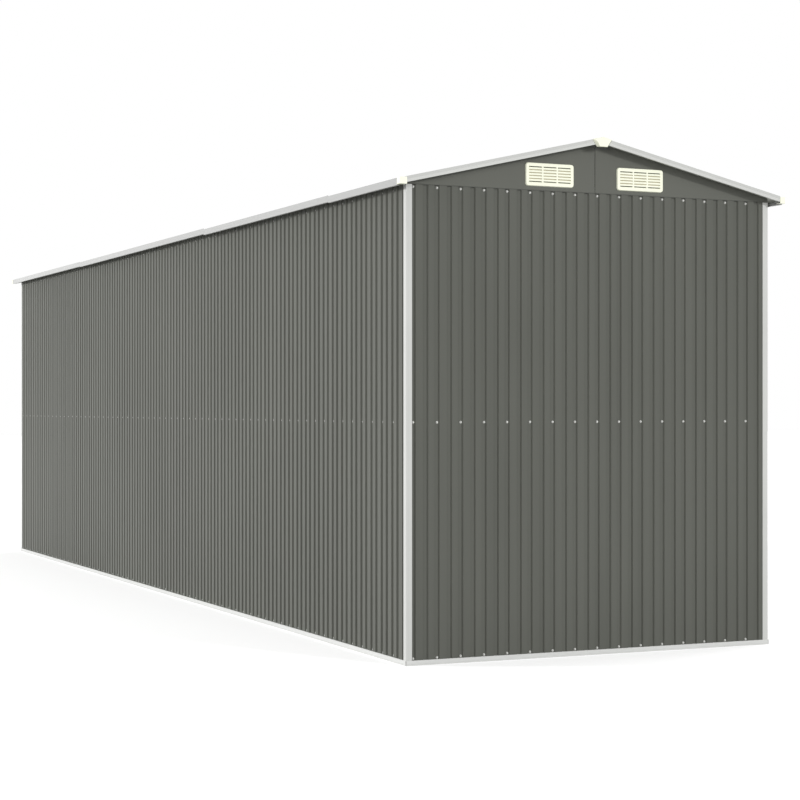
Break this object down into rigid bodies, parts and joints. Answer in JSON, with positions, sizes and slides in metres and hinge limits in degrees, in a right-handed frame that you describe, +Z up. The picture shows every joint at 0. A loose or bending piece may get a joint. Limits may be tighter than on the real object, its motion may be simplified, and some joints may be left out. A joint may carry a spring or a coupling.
{
  "type": "metal storage shed",
  "caption": "Long metal storage shed with ribbed steel walls, a low pitched roof, pale corner posts and trims, gable vents and a doorway in one gable.",
  "frame": {"origin": "middle of the footprint at ground level, under the base rails", "axes": "+Z up, +X across the gables, +Y along the shed towards the gable with the doorway"},
  "size_m": [1.913, 7.117, 2.2401],
  "materials": {
    "grey_sheet": "satin",
    "pale_trim": "satin",
    "cream_plastic": "satin",
    "zinc_frame": "dull galvanized"
  },
  "bodies": {
    "root": {"base_rail_front": "pale_trim", "base_rail_left": "pale_trim", "base_rail_rear": "pale_trim", "base_rail_right": "pale_trim", "corner_caps": "cream_plastic", "corner_post_front_left": "pale_trim", "corner_post_front_right": "pale_trim", "corner_post_rear_left": "pale_trim", "corner_post_rear_right": "pale_trim", "door_jambs": "pale_trim", "door_leaf_left": "grey_sheet", "door_leaf_right": "grey_sheet", "door_sill": "zinc_frame", "door_track": "zinc_frame", "eaves_trim_left": "pale_trim", "eaves_trim_right": "pale_trim", "gable_front_a": "grey_sheet", "gable_front_b": "grey_sheet", "gable_rear_a": "grey_sheet", "gable_rear_b": "grey_sheet", "rails_front": "zinc_frame", "rails_left": "zinc_frame", "rails_rear": "zinc_frame", "rails_right": "zinc_frame", "ridge_cap": "pale_trim", "ridge_end_cap_front": "cream_plastic", "ridge_end_cap_rear": "cream_plastic", "roof_beams": "zinc_frame", "roof_frames": "zinc_frame", "roof_left_1": "grey_sheet", "roof_left_2": "grey_sheet", "roof_right_1": "grey_sheet", "roof_right_2": "grey_sheet", "vents_front": "cream_plastic", "vents_rear": "cream_plastic", "verge_trim_front_left": "pale_trim", "verge_trim_front_right": "pale_trim", "verge_trim_rear_left": "pale_trim", "verge_trim_rear_right": "pale_trim", "wall_front_left": "grey_sheet", "wall_front_right": "grey_sheet", "wall_left_1": "grey_sheet", "wall_left_2": "grey_sheet", "wall_left_3": "grey_sheet", "wall_over_door": "grey_sheet", "wall_rear": "grey_sheet", "wall_right_1": "grey_sheet", "wall_right_2": "grey_sheet", "wall_right_3": "grey_sheet"}
  },
  "joints": []
}
